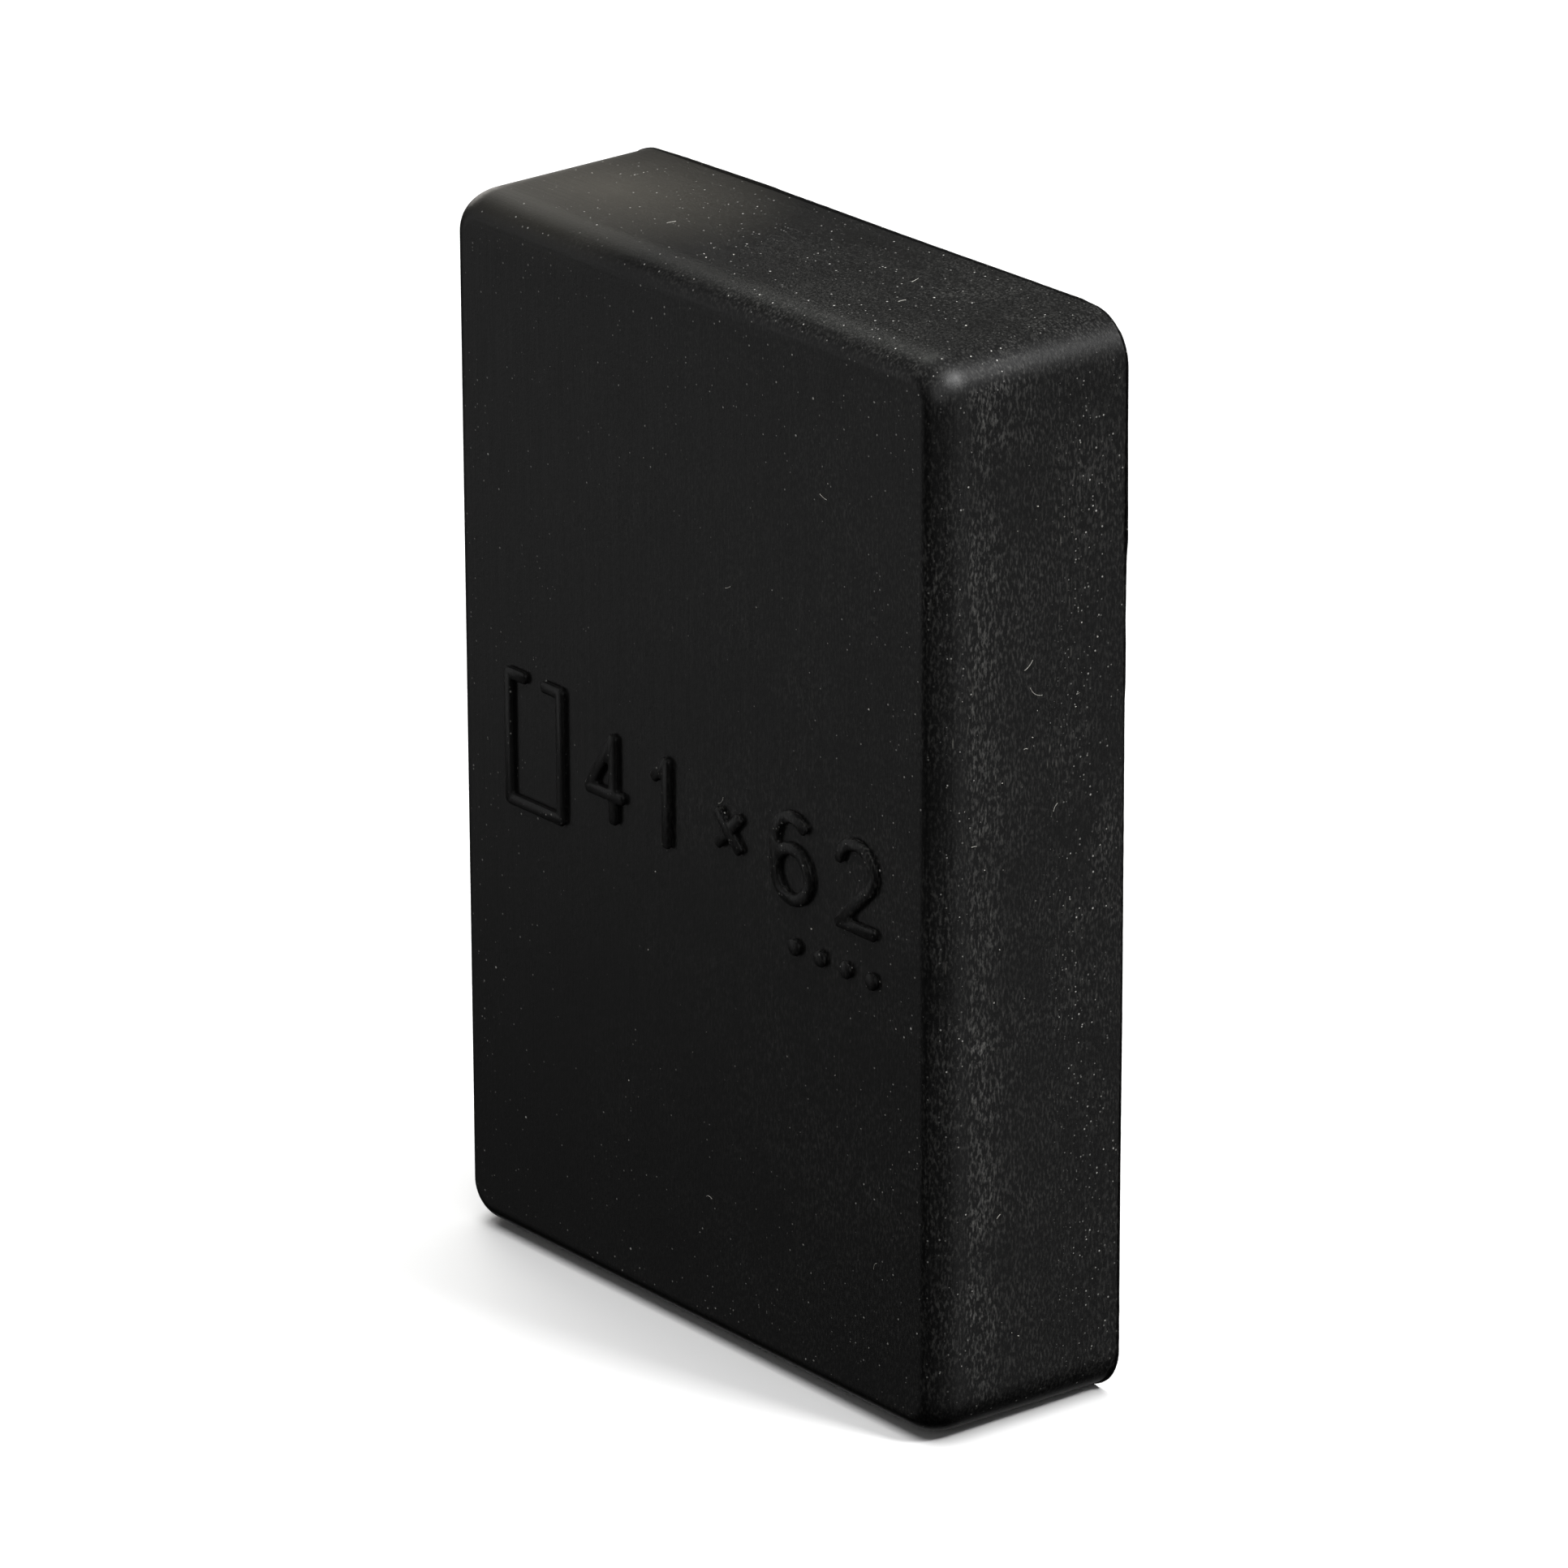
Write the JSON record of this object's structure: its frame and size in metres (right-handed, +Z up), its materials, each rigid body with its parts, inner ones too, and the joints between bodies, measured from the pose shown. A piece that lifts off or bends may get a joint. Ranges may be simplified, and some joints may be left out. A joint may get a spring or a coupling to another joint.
{
  "type": "rail end cap",
  "caption": "Push-on rubber cap that closes and cushions the cut end of a rectangular mounting rail.",
  "frame": {"origin": "centre of the inner seat, where the cut end of the rail rests", "axes": "+Y along the rail, from the seat out of the mouth; +Z up the cap's height; +X across its width, to the right when the closed face is looked at"},
  "size_m": [0.047, 0.0143, 0.068],
  "materials": {
    "black_rubber": "matt moulded"
  },
  "bodies": {
    "root": {"end_cap": "black_rubber"}
  },
  "joints": []
}
